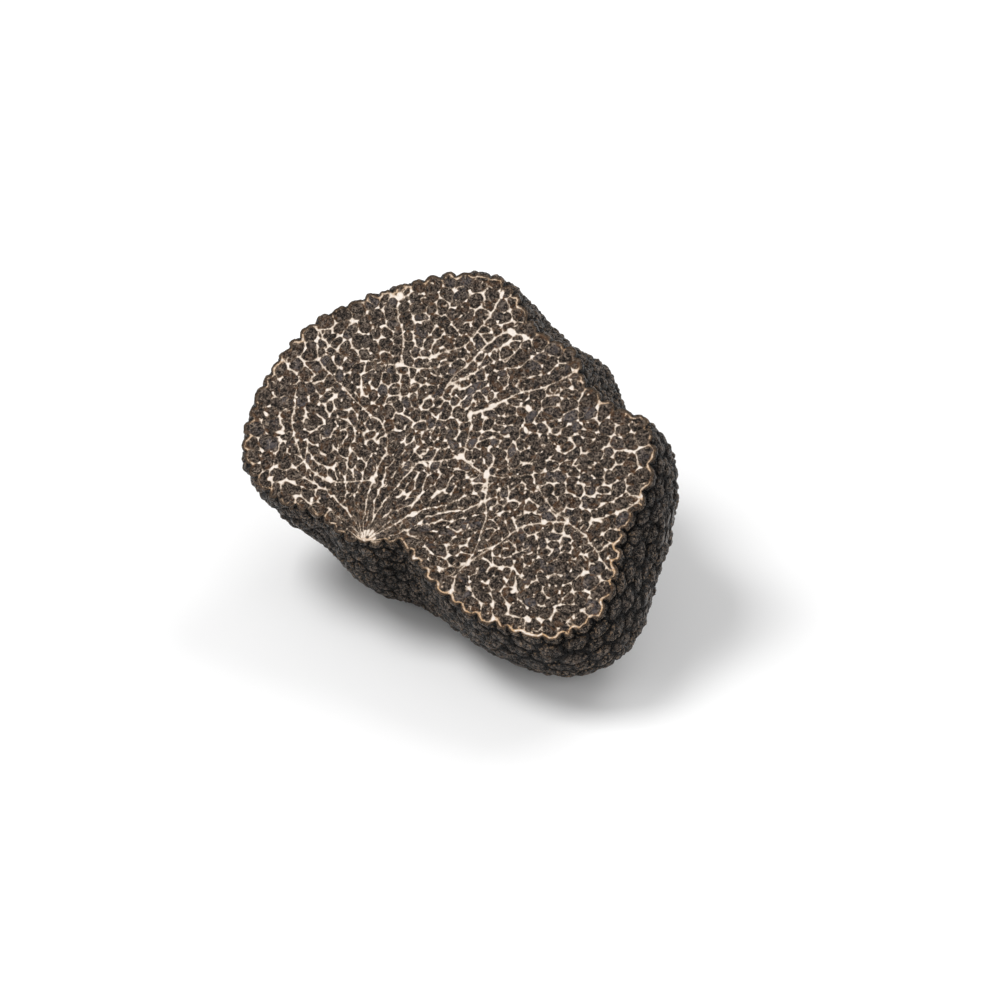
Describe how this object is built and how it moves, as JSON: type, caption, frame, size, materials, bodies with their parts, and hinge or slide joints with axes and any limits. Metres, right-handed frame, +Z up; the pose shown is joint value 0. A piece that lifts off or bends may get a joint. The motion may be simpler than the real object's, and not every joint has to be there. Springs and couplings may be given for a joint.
{
  "type": "black truffle, cut half",
  "caption": "Cut half of a black truffle: warty dark skin on the round side, flat marbled cut face tipped to the front, resting on a small flat spot.",
  "frame": {"origin": "bottom centre of the bounding box, on the surface that the truffle rests on", "axes": "+X across the cut face, to the right seen from the front; -Y is the front, towards which the cut face is tipped 35 degrees from level; +Z up"},
  "size_m": [0.0662, 0.054, 0.0448],
  "materials": {
    "truffle": "matte, near-black warty skin; dark brown cut flesh with cream veins"
  },
  "bodies": {
    "root": {"truffle_half": "truffle"}
  },
  "joints": []
}
